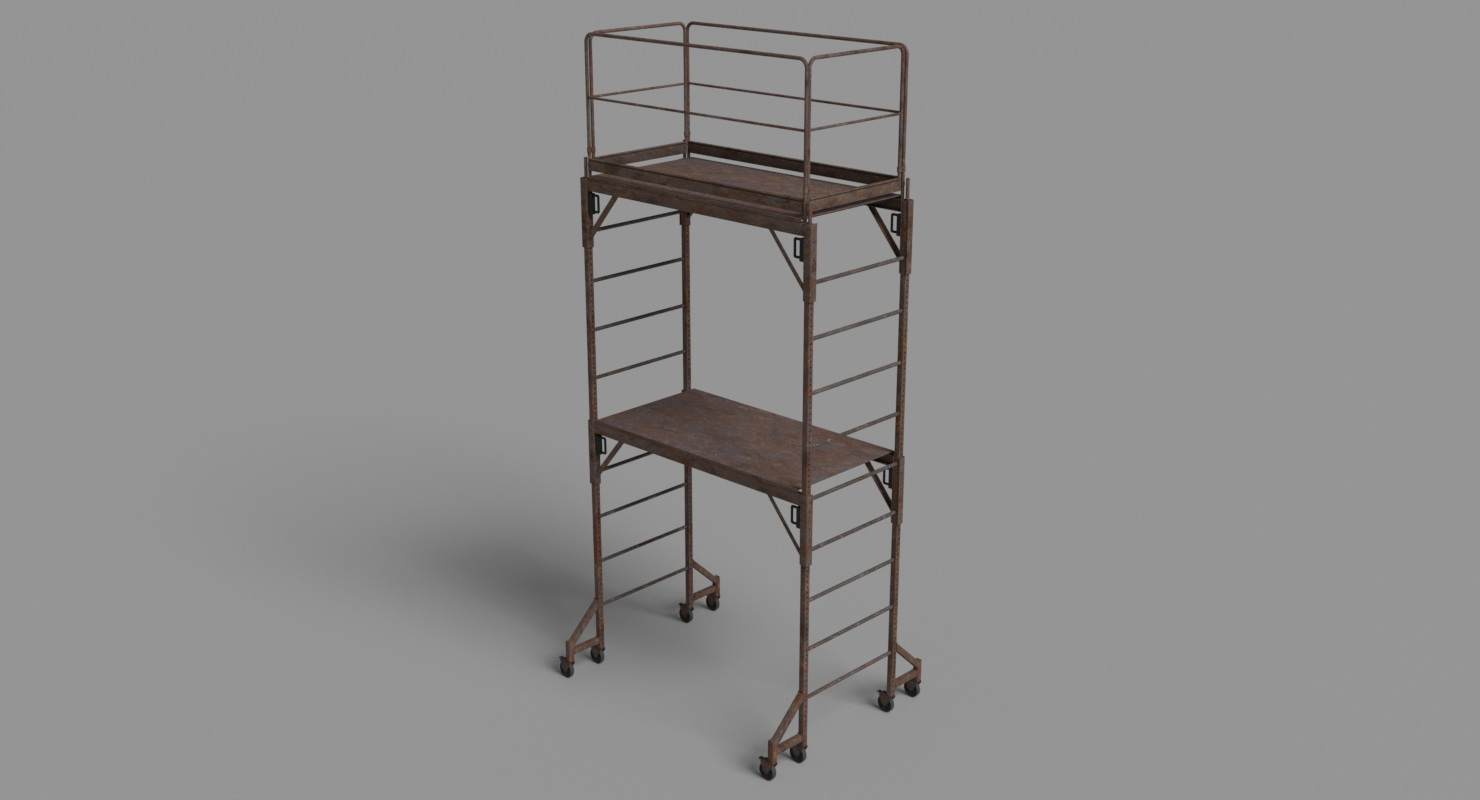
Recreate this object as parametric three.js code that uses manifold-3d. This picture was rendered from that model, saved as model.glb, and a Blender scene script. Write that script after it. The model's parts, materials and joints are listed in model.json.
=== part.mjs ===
// Two-tier baker scaffold: four ladder frames stacked in pairs, two height-adjustable
// platforms on side brackets, guardrails with toe boards, and four outriggers on casters.
// Millimetres, +Z up. X runs along the platform, Y along the rungs, Z = 0 is the floor.

import * as THREE from 'three';
import { mergeVertices } from 'three/addons/utils/BufferGeometryUtils.js';
import loadManifold from 'manifold-3d';

const wasm = await loadManifold();
wasm.setup();

// ---------------------------------------------------------------- driving dimensions

const GAP = 0.3; // clearance between pieces that touch

// ladder frames
const POST = 41; // square post tube
const POST_WALL = 2.5;
const POST_X = 941; // post axes, along the platform
const POST_Y = 435; // post axes, along the rungs
const POST_FOOT = 138; // underside of the lower posts
const FRAME_H = 1647;
const RUNG_D = 25;
const RUNG_WALL = 2.5;
const RUNG_FIRST = 315; // first rung above a frame's foot
const RUNG_PITCH = 329;
const RUNGS = { lower: 5, upper: 4 };
const SPIGOT_D = 22; // coupling spigot in each post top
const SPIGOT_BORE = 17;
const SPIGOT_RISE = 133;
const SPIGOT_PLUG = 60; // depth of the solid plug that holds it

// platforms
const DECK_TOP = { lower: 1830, upper: 3455.6 };
const DECK_HALF_X = 891.7;
const DECK_HALF_Y = 456;
const DECK_T = 22;
const SHEET_T = 3;
const RIM_T = 3; // angle under the platform's edges
const RIM_LEG = 32;
const RIM_END = 848; // its end angles, from the platform's middle
const DECK_RIBS = 3;
const RIB = { foot: 30, web: 4 };

// side brackets, heights measured down from the platform top
const BEAM_TOP = DECK_T + GAP;
const BEAM_H = 75;
const BEAM_FLANGE = 35;
const BEAM_T = 4;
const SLEEVE_TOP = 18.6;
const SLEEVE_LENGTH = 450;
const SLEEVE_IN = 26; // sleeve face towards the platform, from the post axis
const SLEEVE_OUT = 31; // sleeve face away from the platform
const SLEEVE_SIDE = 26; // half width of the sleeve across the rungs
const SLEEVE_T = 4.8;
const BRACE_FOOT = 400; // where the brace meets the sleeve
const BRACE_REACH = 660; // where the brace meets the beam, from the middle
const BRACE_W = 28;
const BRACE_T = 4;
const BRACE_LIP = 25; // depth of its turned-in edge

// spring locking pins
const LOCK_PITCH = 105; // between a lock's two arms
const LOCK_UPPER = 122.5; // upper arm below the platform top
const LOCK_D = 9;
const LOCK_HOLE = 10.6;
const LOCK_TIP = -8; // end of the arm, from the post axis
const LOCK_BAIL = -118; // outside of the pull loop
const LOCK_BEND = 7;
const LOCK_COLLAR = { d: 16, t: 4, x: -33 };
const HOUSING = { x: -66, top: 112, bottom: 242, halfY: 14, t: 4 };

// guardrails and toe boards
const RAIL_D = 22;
const RAIL_WALL = 2;
const MID_RAIL_D = 16;
const RAIL_BEND = 55;
const RAIL_TOP = 4333; // axis of the top rail
const RAIL_MID = 3944;
const SIDE_RAIL_X = 903; // leg axes of the long panels
const END_RAIL_X = 897; // plane of the end panels
const END_RAIL_Y = 407; // leg axes of the end panels
const TOE_Z = [3488, 3565];
const TOE_T = 25;
const TOE_WALL = 2;
const CLIP = { z: 3600, h: 30, wall: 3 };

// outriggers
const OUTRIG_REACH = 278; // outer caster from the post axis
const OUTRIG_LEG_TOP = 285;
const OUTRIG_BEAM_Z = 198.5;
const OUTRIG_BRACE_Z = [486, 247]; // brace axis at the post face and at the outer leg
const PAD_T = 4;
const PAD_H = 56;

// casters
const WHEEL_D = 120;
const WHEEL_W = 34;
const WHEEL_FACETS = 18;
const WHEEL_BORE = 13;
const HUB = { r: 14, half: 18.5 };
const WEB = { r: 20, half: 11 }; // recess between the hub and the tyre
const TYRE_SHOULDER = { r: 49, drop: 4 };
const AXLE_D = 12;
const TRAIL = 37; // wheel axis behind the swivel axis
const STEM_D = 26;
const STEM_TOP = 200;
const FORK_T = 4;
const FORK_TOP = 132;
const FORK_IN = 19.6; // inner face of a fork cheek
const BEARING_D = 46;
const PLATE_X = [-60, 21]; // the fork's top plate
const AXLE_END = 4; // bolt head outside a cheek
const PEDAL_PIVOT = [-71, 121];
const PEDAL_REACH = 104;
const PEDAL_W = 30;
const PEDAL_TUBE_D = 12;
const PEDAL_CAM_D = 8;
const PEDAL_TRAVEL = THREE.MathUtils.degToRad(18);
const PEDAL_PIN_D = 6;

// ---------------------------------------------------------------- shaping helpers

const X_AXIS = new THREE.Vector3(1, 0, 0);
const Y_AXIS = new THREE.Vector3(0, 1, 0);
const Z_AXIS = new THREE.Vector3(0, 0, 1);

function solid(geometry) {
  const bare = geometry.clone();
  bare.deleteAttribute('normal');
  bare.deleteAttribute('uv');
  const merged = mergeVertices(bare, 1e-4);
  return new wasm.Manifold(new wasm.Mesh({
    numProp: 3,
    vertProperties: new Float32Array(merged.attributes.position.array),
    triVerts: new Uint32Array(merged.index.array),
  }));
}

function geometryOf(manifold) {
  const { vertProperties, triVerts } = manifold.getMesh();
  const geometry = new THREE.BufferGeometry();
  geometry.setAttribute('position', new THREE.BufferAttribute(vertProperties, 3));
  geometry.setIndex(new THREE.BufferAttribute(triVerts, 1));
  geometry.computeVertexNormals();
  return geometry;
}

const joined = (pieces) => pieces.reduce((whole, piece) => whole.add(piece));
const cut = (body, tools) => tools.reduce((rest, tool) => rest.subtract(tool), body);

function box(xs, ys, zs) {
  const [x, y, z] = [xs, ys, zs].map(([a, b]) => ({ size: Math.abs(b - a), middle: (a + b) / 2 }));
  return solid(new THREE.BoxGeometry(x.size, y.size, z.size).translate(x.middle, y.middle, z.middle));
}

// A round bar along one axis, from a to b, through the point `at` in the other two.
function rod(axis, diameter, [a, b], at, facets = 12) {
  const bar = new THREE.CylinderGeometry(diameter / 2, diameter / 2, Math.abs(b - a), facets);
  const turn = new THREE.Quaternion().setFromUnitVectors(Y_AXIS, axis);
  bar.applyQuaternion(turn);
  const middle = axis.clone().multiplyScalar((a + b) / 2);
  return solid(bar.translate(middle.x + at[0], middle.y + at[1], middle.z + at[2]));
}

// A flat outline in the plane of `right` and `up`, thickened along their cross product.
function prism(points, right, up, [a, b]) {
  const polygon = () => new THREE.Shape(points.map((point) => new THREE.Vector2(...point)));
  const shape = points instanceof THREE.Shape ? points : polygon();
  const along = new THREE.Vector3().crossVectors(right, up);
  const slab = new THREE.ExtrudeGeometry(shape, { depth: b - a, bevelEnabled: false, curveSegments: 6 });
  slab.applyMatrix4(new THREE.Matrix4().makeBasis(right, up, along));
  return solid(slab.translate(along.x * a, along.y * a, along.z * a));
}

// The outline of a straight bar of width w between two points of a plane.
function barOutline([x0, y0], [x1, y1], w) {
  const length = Math.hypot(x1 - x0, y1 - y0);
  const [nx, ny] = [-(y1 - y0) / length * w / 2, (x1 - x0) / length * w / 2];
  return [[x0 + nx, y0 + ny], [x0 - nx, y0 - ny], [x1 - nx, y1 - ny], [x1 + nx, y1 + ny]];
}

// A path through given points, with one extrusion step to each stretch between them.
class Stretches extends THREE.Curve {
  constructor(points) {
    super();
    this.points = points;
  }

  getPoint(t, target = new THREE.Vector3()) {
    const along = t * (this.points.length - 1);
    const i = Math.min(Math.floor(along), this.points.length - 2);
    return target.lerpVectors(this.points[i], this.points[i + 1], along - i);
  }

  getUtoTmapping(u) {
    return u;
  }
}

// A bar bent into a U in the XZ plane: up one leg, across the top, down the other.
function bentU(halfSpan, top, foot, bend, diameter, arcSteps, facets) {
  const points = [new THREE.Vector3(-halfSpan, 0, foot)];
  for (const [side, start] of [[-1, Math.PI], [1, Math.PI / 2]]) {
    for (let i = 0; i <= arcSteps; i += 1) {
      const angle = start - (i / arcSteps) * Math.PI / 2;
      const x = side * (halfSpan - bend) + bend * Math.cos(angle);
      points.push(new THREE.Vector3(x, 0, top - bend + bend * Math.sin(angle)));
    }
  }
  points.push(new THREE.Vector3(halfSpan, 0, foot));
  const round = new THREE.Shape();
  round.absarc(0, 0, diameter / 2, 0, 2 * Math.PI);
  return solid(new THREE.ExtrudeGeometry(round, {
    extrudePath: new Stretches(points),
    steps: points.length - 1,
    curveSegments: facets / 2,
  }));
}

// ---------------------------------------------------------------- materials

function steel(colour, roughness, metalness) {
  return () => new THREE.MeshStandardMaterial({ color: colour, roughness, metalness });
}

const rustyTube = steel(0x5e4536, 0.85, 0.25);
const rustyBracket = steel(0x574033, 0.85, 0.25);
const rustyDeck = steel(0x8c6f60, 0.8, 0.2);
const rustyRail = steel(0x6b5245, 0.85, 0.25);
const blackSteel = steel(0x1d1b1a, 0.6, 0.5);
const forkSteel = steel(0x4a3530, 0.8, 0.3);
const wheelRubber = steel(0x191a18, 0.9, 0);

// ---------------------------------------------------------------- sub-parts

// Two posts joined by rungs. Post tops carry coupling spigots, and cross holes take the locks.
function ladderFrame(foot, rungCount, lockHeights) {
  const top = foot + FRAME_H;
  const half = POST / 2;
  const hollow = half - POST_WALL;
  const skins = [];
  const voids = [];
  for (const y of [-POST_Y, POST_Y]) {
    skins.push(box([-half, half], [y - half, y + half], [foot, top]));
    skins.push(rod(Z_AXIS, SPIGOT_D, [top - SPIGOT_PLUG, top + SPIGOT_RISE], [0, y, 0]));
    voids.push(box([-hollow, hollow], [y - hollow, y + hollow], [foot - 1, top - SPIGOT_PLUG]));
    voids.push(rod(Z_AXIS, SPIGOT_BORE, [top - SPIGOT_PLUG - 1, top + SPIGOT_RISE + 1], [0, y, 0], 8));
    for (const z of lockHeights) {
      voids.push(rod(X_AXIS, LOCK_HOLE, [-POST, POST], [0, y, z], 8));
    }
  }
  for (let i = 0; i < rungCount; i += 1) {
    const z = foot + RUNG_FIRST + i * RUNG_PITCH;
    skins.push(rod(Y_AXIS, RUNG_D, [-POST_Y, POST_Y], [0, 0, z]));
    voids.push(rod(Y_AXIS, RUNG_D - 2 * RUNG_WALL, [-POST_Y, POST_Y], [0, 0, z], 6));
  }
  return cut(joined(skins), voids);
}

// One long bracket, heights from its platform's top, standing on the -Y side: a channel
// beam, a sleeve that slides on each post, diagonal braces and the lock housings.
function sideBracket() {
  const outer = -DECK_HALF_Y;
  const beamEnd = POST_X - SLEEVE_IN + 1;
  const beamFoot = -BEAM_TOP - BEAM_H;
  const inner = outer + BEAM_FLANGE;
  const parts = [
    box([-beamEnd, beamEnd], [outer, outer + BEAM_T], [beamFoot, -BEAM_TOP]),
    box([-beamEnd, beamEnd], [outer, inner], [-BEAM_TOP - BEAM_T, -BEAM_TOP]),
    box([-beamEnd, beamEnd], [outer, inner], [beamFoot, beamFoot + BEAM_T]),
  ];
  const holes = [];
  const sleeveZ = [-SLEEVE_TOP - SLEEVE_LENGTH, -SLEEVE_TOP];
  const sleeveY = [-POST_Y - SLEEVE_SIDE, -POST_Y + SLEEVE_SIDE];
  for (const s of [-1, 1]) {
    const x = (fromAxis) => s * (POST_X + fromAxis);
    parts.push(
      box([x(-SLEEVE_IN), x(SLEEVE_OUT)], [sleeveY[0], sleeveY[0] + SLEEVE_T], sleeveZ),
      box([x(-SLEEVE_IN), x(SLEEVE_T - SLEEVE_IN)], sleeveY, sleeveZ),
      box([x(SLEEVE_OUT - SLEEVE_T), x(SLEEVE_OUT)], sleeveY, sleeveZ),
    );
    // angle-iron brace: a wide face flush behind the beam's web, with its lower edge turned in
    const foot = [x(-SLEEVE_IN), -BRACE_FOOT];
    const head = [s * BRACE_REACH, beamFoot + 2];
    const edge = (BRACE_W - BRACE_T) / 2;
    const slope = Math.atan2(head[1] - foot[1], Math.abs(foot[0] - head[0]));
    const lower = ([px, pz]) => [px - s * edge * Math.sin(slope), pz - edge * Math.cos(slope)];
    const braceY = -outer - BEAM_T;
    parts.push(
      prism(barOutline(foot, head, BRACE_W), X_AXIS, Z_AXIS, [braceY - BRACE_T, braceY]),
      prism(barOutline(lower(foot), lower(head), BRACE_T), X_AXIS, Z_AXIS, [braceY - BRACE_LIP, braceY]),
    );
    const passage = [x(SLEEVE_T - SLEEVE_IN), x(SLEEVE_OUT - SLEEVE_T)];
    holes.push(box(passage, [sleeveY[0] + SLEEVE_T, sleeveY[1] + 1], [sleeveZ[0] - 1, 1]));
    // lock housing: a channel with its back to the sleeve, open at the top and bottom
    const housingZ = [-HOUSING.bottom, -HOUSING.top];
    const [near, far] = [-POST_Y - HOUSING.halfY, -POST_Y + HOUSING.halfY];
    parts.push(
      box([x(HOUSING.x), x(HOUSING.x + HOUSING.t)], [near, far], housingZ),
      box([x(HOUSING.x), x(-SLEEVE_IN + 1)], [near, near + HOUSING.t], housingZ),
      box([x(HOUSING.x), x(-SLEEVE_IN + 1)], [far - HOUSING.t, far], housingZ),
    );
    for (const drop of [LOCK_UPPER, LOCK_UPPER + LOCK_PITCH]) {
      holes.push(rod(X_AXIS, LOCK_HOLE, [x(HOUSING.x - 5), x(SLEEVE_OUT + 5)], [0, -POST_Y, -drop], 8));
    }
  }
  return cut(joined(parts), holes);
}

// Frame of the platform: a block with its bays taken out, which leaves an angle along each side,
// an angle across near each end and T-shaped ribs.
function deckFrame() {
  const [x, y] = [DECK_HALF_X, DECK_HALF_Y];
  const past = x + 1;
  const members = [
    { web: [-past, -past], foot: [-past, -past] },
    { web: [-RIM_END, -RIM_END + RIM_T], foot: [-RIM_END, -RIM_END + RIM_LEG] },
  ];
  for (let i = 0; i < DECK_RIBS; i += 1) {
    const at = (i - (DECK_RIBS - 1) / 2) * (2 * x / (DECK_RIBS + 1));
    const about = (width) => [at - width / 2, at + width / 2];
    members.push({ web: about(RIB.web), foot: about(RIB.foot) });
  }
  members.push({ web: [RIM_END - RIM_T, RIM_END], foot: [RIM_END - RIM_LEG, RIM_END] });
  members.push({ web: [past, past], foot: [past, past] });
  const bays = [];
  for (let i = 1; i < members.length; i += 1) {
    const [last, next] = [members[i - 1], members[i]];
    bays.push(
      box([last.web[1], next.web[0]], [-y + RIM_T, y - RIM_T], [-DECK_T + RIM_T, 1]),
      box([last.foot[1], next.foot[0]], [-y + RIM_LEG, y - RIM_LEG], [-DECK_T - 1, 1]),
    );
  }
  return cut(box([-x, x], [-y, y], [-DECK_T, -SHEET_T - GAP]), bays);
}

function deckSheet() {
  return box([-DECK_HALF_X, DECK_HALF_X], [-DECK_HALF_Y, DECK_HALF_Y], [-SHEET_T, 0]);
}

// A bent guardrail with its mid rail, standing in the XZ plane. The bores run together.
function railPanel(halfSpan, foot) {
  const bore = RAIL_D - 2 * RAIL_WALL;
  const midBore = MID_RAIL_D - 2 * RAIL_WALL;
  const skin = bentU(halfSpan, RAIL_TOP, foot, RAIL_BEND, RAIL_D, 4, 12);
  const mid = rod(X_AXIS, MID_RAIL_D, [-halfSpan, halfSpan], [0, 0, RAIL_MID], 8);
  const hollow = bentU(halfSpan, RAIL_TOP, foot - 1, RAIL_BEND, bore, 4, 6);
  const midHollow = rod(X_AXIS, midBore, [-halfSpan, halfSpan], [0, 0, RAIL_MID], 6);
  return cut(skin.add(mid), [hollow, midHollow]);
}

// Box-section toe board, open at both ends, lying along X.
function toeBoard(halfLength) {
  const half = TOE_T / 2;
  const [z0, z1] = TOE_Z;
  const skin = box([-halfLength, halfLength], [-half, half], [z0, z1]);
  const inside = [-half + TOE_WALL, half - TOE_WALL];
  return cut(skin, [box([-halfLength - 1, halfLength + 1], inside, [z0 + TOE_WALL, z1 - TOE_WALL])]);
}

// Two-hole clip that ties an end panel's leg to a long panel's leg.
function cornerClip(spacing) {
  const r = RAIL_D / 2 + GAP + CLIP.wall;
  const half = spacing / 2;
  const shape = new THREE.Shape();
  shape.absarc(half, 0, r, -Math.PI / 2, Math.PI / 2);
  shape.absarc(-half, 0, r, Math.PI / 2, Math.PI * 1.5);
  for (const centre of [-half, half]) {
    const hole = new THREE.Path();
    hole.absarc(centre, 0, RAIL_D / 2 + GAP * 1.5, 0, 2 * Math.PI, true);
    shape.holes.push(hole);
  }
  return prism(shape, X_AXIS, Y_AXIS, [0, CLIP.h]);
}

// Outrigger reaching along +Y from a post at the origin: two pads held to the post, a
// level tube, a brace and a short upright that holds the outer caster's stem.
function outrigger() {
  const half = POST / 2;
  const hollow = half - POST_WALL;
  const padY = half + GAP;
  const tubeY = padY + PAD_T;
  const [headZ, footZ] = OUTRIG_BRACE_Z;
  const slope = (footZ - headZ) / (OUTRIG_REACH - half);
  const onBrace = (y) => [y, headZ + slope * (y - half)];
  const brace = (width, from, to) => barOutline(onBrace(from), onBrace(to), width);
  const legY = [OUTRIG_REACH - half, OUTRIG_REACH + half];
  const innerLegY = [legY[0] + POST_WALL, legY[1] - POST_WALL];
  const trim = box([-POST, POST], [-POST, padY], [0, headZ + POST * 2]);
  const skins = [
    box([-half, half], [tubeY - 1, OUTRIG_REACH], [OUTRIG_BEAM_Z - half, OUTRIG_BEAM_Z + half]),
    prism(brace(POST, half - 30, OUTRIG_REACH), Y_AXIS, Z_AXIS, [-half, half]).subtract(trim),
    box([-half, half], legY, [POST_FOOT, OUTRIG_LEG_TOP]),
  ];
  for (const z of [OUTRIG_BEAM_Z, headZ]) {
    skins.push(box([-half, half], [padY, tubeY], [z - PAD_H / 2, z + PAD_H / 2]));
  }
  const voids = [
    box([-hollow, hollow], innerLegY, [POST_FOOT - 1, OUTRIG_LEG_TOP - POST_WALL]),
    box([-hollow, hollow], [tubeY, OUTRIG_REACH], [OUTRIG_BEAM_Z - hollow, OUTRIG_BEAM_Z + hollow]),
    prism(brace(2 * hollow, half + 40, OUTRIG_REACH - 12), Y_AXIS, Z_AXIS, [-hollow, hollow]),
  ];
  return cut(joined(skins), voids);
}

// Swivel fork: stem, bearing boss, top plate, two cheeks, the axle and the pedal's pin.
function casterFork() {
  const outer = FORK_IN + FORK_T;
  const plate = [FORK_TOP - FORK_T, FORK_TOP];
  const [px, pz] = PEDAL_PIVOT;
  const cheek = [
    [PLATE_X[1], FORK_TOP], [PLATE_X[1], FORK_TOP - 14],
    [-TRAIL + 13, WHEEL_D / 2 - 6], [-TRAIL, WHEEL_D / 2 - 13], [-TRAIL - 13, WHEEL_D / 2 - 6],
    [px - 7, pz - 4], [px - 7, pz + 6], [px + 3, FORK_TOP],
  ];
  return joined([
    rod(Z_AXIS, STEM_D, [FORK_TOP - 1, STEM_TOP], [0, 0, 0], 8),
    rod(Z_AXIS, BEARING_D, [FORK_TOP - 1, POST_FOOT - GAP], [0, 0, 0], 12),
    box(PLATE_X, [-outer, outer], plate),
    prism(cheek, X_AXIS, Z_AXIS, [FORK_IN, outer]),
    prism(cheek, X_AXIS, Z_AXIS, [-outer, -FORK_IN]),
    rod(Y_AXIS, AXLE_D, [-outer - AXLE_END, outer + AXLE_END], [-TRAIL, 0, WHEEL_D / 2], 8),
    rod(Y_AXIS, PEDAL_PIN_D, [-outer, outer], [px, 0, pz], 6),
  ]);
}

// Wheel on a Y axle: hub, recessed web and a tyre with chamfered shoulders.
function casterWheel() {
  const out = 1 / Math.cos(Math.PI / WHEEL_FACETS); // facets, not corners, lie on the tread
  const half = WHEEL_W / 2;
  const tread = WHEEL_D / 2;
  const profile = [
    [WHEEL_BORE / 2, HUB.half], [HUB.r, HUB.half], [WEB.r, WEB.half],
    [TYRE_SHOULDER.r, half], [tread, half - TYRE_SHOULDER.drop],
  ];
  const mirrored = profile.map(([r, y]) => [r, -y]).reverse();
  const ring = [...profile, ...mirrored, profile[0]].map(([r, y]) => new THREE.Vector2(r * out, y));
  ring.reverse();
  return solid(new THREE.LatheGeometry(ring, WHEEL_FACETS, Math.PI / WHEEL_FACETS));
}

// Brake pedal on its cross pin, with a round cam that meets the tyre when it is trodden down.
function brakePedal() {
  const [px, pz] = PEDAL_PIVOT;
  const half = PEDAL_W / 2;
  const arm = [[px - 3, pz + 4], [px + 2, pz - 4], [-PEDAL_REACH, pz + 3], [-PEDAL_REACH, pz + 9]];
  const cam = new THREE.Vector2(-TRAIL - px, WHEEL_D / 2 - pz);
  const tyreCorner = WHEEL_D / 2 / Math.cos(Math.PI / WHEEL_FACETS);
  cam.setLength(cam.length() - tyreCorner - GAP - PEDAL_CAM_D / 2);
  cam.rotateAround(new THREE.Vector2(), -PEDAL_TRAVEL);
  const skin = joined([
    rod(Y_AXIS, PEDAL_TUBE_D, [-half, half], [px, 0, pz], 8),
    rod(Y_AXIS, PEDAL_CAM_D, [-half, half], [px + cam.x, 0, pz + cam.y], 8),
    prism(arm, X_AXIS, Z_AXIS, [-half, half]),
  ]);
  return cut(skin, [rod(Y_AXIS, PEDAL_PIN_D + 1, [-half - 1, half + 1], [px, 0, pz], 6)]);
}

// Pull loop with two locking arms that point along +X, heights from the platform's top.
function lockPin() {
  const middle = -LOCK_UPPER - LOCK_PITCH / 2;
  const bar = bentU(LOCK_PITCH / 2, -LOCK_BAIL - LOCK_D / 2, -LOCK_TIP, LOCK_BEND, LOCK_D, 2, 8);
  const turned = geometryOf(bar).rotateY(-Math.PI / 2).translate(0, 0, middle);
  const collars = [-LOCK_UPPER, -LOCK_UPPER - LOCK_PITCH].map((z) => (
    rod(X_AXIS, LOCK_COLLAR.d, [LOCK_COLLAR.x - LOCK_COLLAR.t, LOCK_COLLAR.x], [0, 0, z], 8)
  ));
  return joined([solid(turned), ...collars]);
}

// ---------------------------------------------------------------- assembly

const scaffold = new THREE.Group();

function place(parent, name, geometry, material, position, turn = 0) {
  const mesh = new THREE.Mesh(geometry, material());
  mesh.name = name;
  mesh.position.set(...position);
  mesh.rotation.z = turn;
  parent.add(mesh);
}

const ENDS = { left: -1, right: 1 };
const SIDES = { front: -1, back: 1 };
const LEVELS = ['lower', 'upper'];
const FRAME_FOOT = { lower: POST_FOOT, upper: POST_FOOT + FRAME_H + GAP };

// ladder frames
for (const level of LEVELS) {
  const locks = [LOCK_UPPER, LOCK_UPPER + LOCK_PITCH].map((drop) => DECK_TOP[level] - drop);
  const frame = geometryOf(ladderFrame(FRAME_FOOT[level], RUNGS[level], locks));
  for (const [end, s] of Object.entries(ENDS)) {
    place(scaffold, `${level}_frame_${end}`, frame, rustyTube, [s * POST_X, 0, 0]);
  }
}

// platforms, their brackets and the locking pins
const bracket = geometryOf(sideBracket());
const rim = geometryOf(deckFrame());
const sheet = geometryOf(deckSheet());
const lock = geometryOf(lockPin());
for (const level of LEVELS) {
  const z = DECK_TOP[level];
  place(scaffold, `${level}_deck_frame`, rim, rustyBracket, [0, 0, z]);
  place(scaffold, `${level}_deck_sheet`, sheet, rustyDeck, [0, 0, z]);
  for (const [side, d] of Object.entries(SIDES)) {
    place(scaffold, `${level}_bracket_${side}`, bracket, rustyBracket, [0, 0, z], d > 0 ? Math.PI : 0);
    for (const [end, s] of Object.entries(ENDS)) {
      const name = `${level}_lock_pin_${side}_${end}`;
      place(scaffold, name, lock, blackSteel, [s * POST_X, d * POST_Y, z], s > 0 ? 0 : Math.PI);
    }
  }
}

// guardrails, toe boards and corner clips
const longRail = geometryOf(railPanel(SIDE_RAIL_X, DECK_TOP.upper - DECK_T));
const endRail = geometryOf(railPanel(END_RAIL_Y, TOE_Z[0]));
const longToe = geometryOf(toeBoard(SIDE_RAIL_X - RAIL_D / 2 - GAP));
const endToe = geometryOf(toeBoard(END_RAIL_Y - RAIL_D / 2 - GAP));
for (const [side, d] of Object.entries(SIDES)) {
  place(scaffold, `guardrail_${side}`, longRail, rustyRail, [0, d * POST_Y, 0]);
  place(scaffold, `toe_board_${side}`, longToe, rustyBracket, [0, d * POST_Y, 0]);
}
for (const [end, s] of Object.entries(ENDS)) {
  place(scaffold, `guardrail_${end}`, endRail, rustyRail, [s * END_RAIL_X, 0, 0], Math.PI / 2);
  place(scaffold, `toe_board_${end}`, endToe, rustyBracket, [s * END_RAIL_X, 0, 0], Math.PI / 2);
}
const legOffset = new THREE.Vector2(SIDE_RAIL_X - END_RAIL_X, POST_Y - END_RAIL_Y);
const clip = geometryOf(cornerClip(legOffset.length()));
for (const [side, d] of Object.entries(SIDES)) {
  for (const [end, s] of Object.entries(ENDS)) {
    const middle = [s * (SIDE_RAIL_X + END_RAIL_X) / 2, d * (POST_Y + END_RAIL_Y) / 2, CLIP.z];
    const turn = Math.atan2(d * legOffset.y, s * legOffset.x);
    place(scaffold, `corner_clip_${side}_${end}`, clip, blackSteel, middle, turn);
  }
}

// outriggers and casters
const arm = geometryOf(outrigger());
const fork = geometryOf(casterFork());
const wheel = geometryOf(casterWheel());
const pedal = geometryOf(brakePedal());
for (const [side, d] of Object.entries(SIDES)) {
  for (const [end, s] of Object.entries(ENDS)) {
    const turn = d > 0 ? 0 : Math.PI;
    place(scaffold, `outrigger_${side}_${end}`, arm, rustyTube, [s * POST_X, d * POST_Y, 0], turn);
    for (const [row, reach] of [['inner', 0], ['outer', OUTRIG_REACH]]) {
      const caster = new THREE.Group();
      const tag = `${row}_${side}_${end}`;
      caster.position.set(s * POST_X, d * (POST_Y + reach), 0);
      place(caster, `caster_fork_${tag}`, fork, forkSteel, [0, 0, 0]);
      place(caster, `wheel_${tag}`, wheel, wheelRubber, [-TRAIL, 0, WHEEL_D / 2]);
      place(caster, `brake_pedal_${tag}`, pedal, blackSteel, [0, 0, 0]);
      scaffold.add(caster);
    }
  }
}

// The casters trail to -X, so this puts the origin under the middle of the whole outline.
scaffold.position.x = (PEDAL_REACH - SLEEVE_OUT) / 2;

export default scaffold;
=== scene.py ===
"""A rusty two-tier baker scaffold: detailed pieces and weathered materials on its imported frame.

Shapes are worked out in millimetres and turned into metres when a mesh is made.
"""

import json
import math
import random

import bmesh
import bpy
from mathutils import Matrix, Quaternion, Vector


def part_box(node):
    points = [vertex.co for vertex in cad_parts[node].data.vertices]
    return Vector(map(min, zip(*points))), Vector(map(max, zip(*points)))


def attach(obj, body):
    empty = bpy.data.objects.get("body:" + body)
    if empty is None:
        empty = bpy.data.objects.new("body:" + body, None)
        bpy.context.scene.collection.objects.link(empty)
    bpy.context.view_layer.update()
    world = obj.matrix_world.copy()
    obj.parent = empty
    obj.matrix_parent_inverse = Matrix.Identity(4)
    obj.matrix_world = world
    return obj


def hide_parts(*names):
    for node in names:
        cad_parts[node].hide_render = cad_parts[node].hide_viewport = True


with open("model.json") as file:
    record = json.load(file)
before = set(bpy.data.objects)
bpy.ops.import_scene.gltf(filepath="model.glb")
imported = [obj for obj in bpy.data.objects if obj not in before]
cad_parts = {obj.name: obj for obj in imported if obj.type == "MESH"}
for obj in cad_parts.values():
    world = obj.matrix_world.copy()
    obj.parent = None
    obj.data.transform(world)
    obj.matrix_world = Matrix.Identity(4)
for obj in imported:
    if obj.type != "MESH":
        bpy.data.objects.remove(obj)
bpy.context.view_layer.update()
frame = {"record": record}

MM = 0.001
GAP = 0.3  # between pieces that touch
X, Y, Z = Vector((1, 0, 0)), Vector((0, 1, 0)), Vector((0, 0, 1))

# ------------------------------------------------------------------ sizes shared with the frame

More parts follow.
